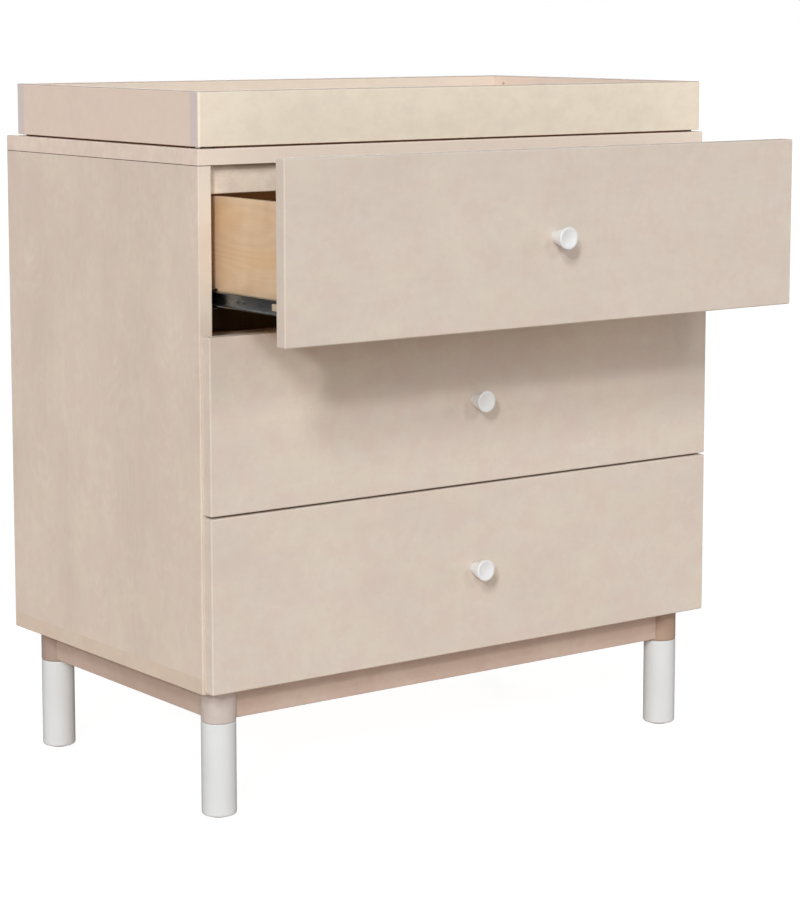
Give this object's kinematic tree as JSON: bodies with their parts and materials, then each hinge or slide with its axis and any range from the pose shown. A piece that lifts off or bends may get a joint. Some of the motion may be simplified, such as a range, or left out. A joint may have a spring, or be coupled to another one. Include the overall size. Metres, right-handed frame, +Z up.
{
  "type": "changing dresser",
  "caption": "Nursery dresser with full-width overlay drawers on ball-bearing slides, a round-legged base frame and a lift-off changing tray.",
  "frame": {"origin": "on the floor, under the middle of the whole dresser's box with the top drawer open as in the picture", "axes": "+Z up, +X to the dresser's own right as seen from the front, and the drawers open towards -Y"},
  "size_m": [0.864, 0.7114, 0.9485],
  "materials": {
    "whitewashed_wood": "pale whitewashed birch with a faint cloudy figure, satin",
    "drawer_wood": "clear-lacquered solid birch, fine grain",
    "drawer_plywood": "clear-lacquered birch plywood",
    "back_plywood": "whitewashed birch plywood",
    "dowel_wood": "fluted beech dowel",
    "white_paint": "white satin lacquer over turned wood",
    "slide_steel": "bright zinc-plated rolled steel",
    "zinc_steel": "zinc-plated steel",
    "grey_nylon": "smooth nylon",
    "pad_rubber": "dark non-slip rubber pad"
  },
  "bodies": {
    "case": {"left_side_panel": "whitewashed_wood", "right_side_panel": "whitewashed_wood", "top_panel": "whitewashed_wood", "bottom_panel": "whitewashed_wood", "back_panel": "back_plywood", "top_front_rail": "whitewashed_wood", "upper_divider_rail": "whitewashed_wood", "lower_divider_rail": "whitewashed_wood", "case_dowels": "dowel_wood", "base_front_rail": "whitewashed_wood", "base_back_rail": "whitewashed_wood", "base_left_rail": "whitewashed_wood", "base_right_rail": "whitewashed_wood", "front_left_leg_post": "whitewashed_wood", "front_right_leg_post": "whitewashed_wood", "back_left_leg_post": "whitewashed_wood", "back_right_leg_post": "whitewashed_wood", "front_left_foot": "white_paint", "front_right_foot": "white_paint", "back_left_foot": "white_paint", "back_right_foot": "white_paint", "leg_bolts": "zinc_steel", "floor_glides": "grey_nylon", "slide_case_members": "slide_steel"},
    "bottom_drawer": {"bottom_drawer_front": "whitewashed_wood", "bottom_drawer_knob": "white_paint", "bottom_drawer_screws": "zinc_steel", "bottom_drawer_box_front": "drawer_wood", "bottom_drawer_left_side": "drawer_wood", "bottom_drawer_right_side": "drawer_wood", "bottom_drawer_back": "drawer_wood", "bottom_drawer_bottom": "drawer_plywood", "bottom_drawer_slides": "slide_steel"},
    "middle_drawer": {"middle_drawer_front": "whitewashed_wood", "middle_drawer_knob": "white_paint", "middle_drawer_screws": "zinc_steel", "middle_drawer_box_front": "drawer_wood", "middle_drawer_left_side": "drawer_wood", "middle_drawer_right_side": "drawer_wood", "middle_drawer_back": "drawer_wood", "middle_drawer_bottom": "drawer_plywood", "middle_drawer_slides": "slide_steel"},
    "top_drawer": {"top_drawer_front": "whitewashed_wood", "top_drawer_knob": "white_paint", "top_drawer_screws": "zinc_steel", "top_drawer_box_front": "drawer_wood", "top_drawer_left_side": "drawer_wood", "top_drawer_right_side": "drawer_wood", "top_drawer_back": "drawer_wood", "top_drawer_bottom": "drawer_plywood", "top_drawer_slides": "slide_steel"},
    "bottom_drawer_ball_cages": {"bottom_drawer_ball_cages": "slide_steel"},
    "middle_drawer_ball_cages": {"middle_drawer_ball_cages": "slide_steel"},
    "top_drawer_ball_cages": {"top_drawer_ball_cages": "slide_steel"},
    "tray": {"tray_front_board": "whitewashed_wood", "tray_back_board": "whitewashed_wood", "tray_left_board": "whitewashed_wood", "tray_right_board": "whitewashed_wood", "tray_dowels": "dowel_wood", "tray_pads": "pad_rubber"}
  },
  "joints": [
    {"name": "bottom_drawer_slide", "type": "slide", "parent": "case", "child": "bottom_drawer", "axis": [0, -1, 0], "range_m": [0, 0.33]},
    {"name": "middle_drawer_slide", "type": "slide", "parent": "case", "child": "middle_drawer", "axis": [0, -1, 0], "range_m": [0, 0.33]},
    {"name": "top_drawer_slide", "type": "slide", "parent": "case", "child": "top_drawer", "axis": [0, -1, 0], "range_m": [-0.169, 0.161]},
    {"name": "bottom_drawer_cage_roll", "type": "slide", "parent": "case", "child": "bottom_drawer_ball_cages", "axis": [0, -1, 0], "range_m": [0, 0.165]},
    {"name": "middle_drawer_cage_roll", "type": "slide", "parent": "case", "child": "middle_drawer_ball_cages", "axis": [0, -1, 0], "range_m": [0, 0.165]},
    {"name": "top_drawer_cage_roll", "type": "slide", "parent": "case", "child": "top_drawer_ball_cages", "axis": [0, -1, 0], "range_m": [-0.0845, 0.0805]},
    {"name": "tray_lift", "type": "slide", "parent": "case", "child": "tray", "axis": [0, 0, 1], "range_m": [0, 0.2]}
  ],
  "couplings": [
    {"joint": "bottom_drawer_cage_roll", "follows": "bottom_drawer_slide", "ratio": 0.5},
    {"joint": "middle_drawer_cage_roll", "follows": "middle_drawer_slide", "ratio": 0.5},
    {"joint": "top_drawer_cage_roll", "follows": "top_drawer_slide", "ratio": 0.5}
  ]
}
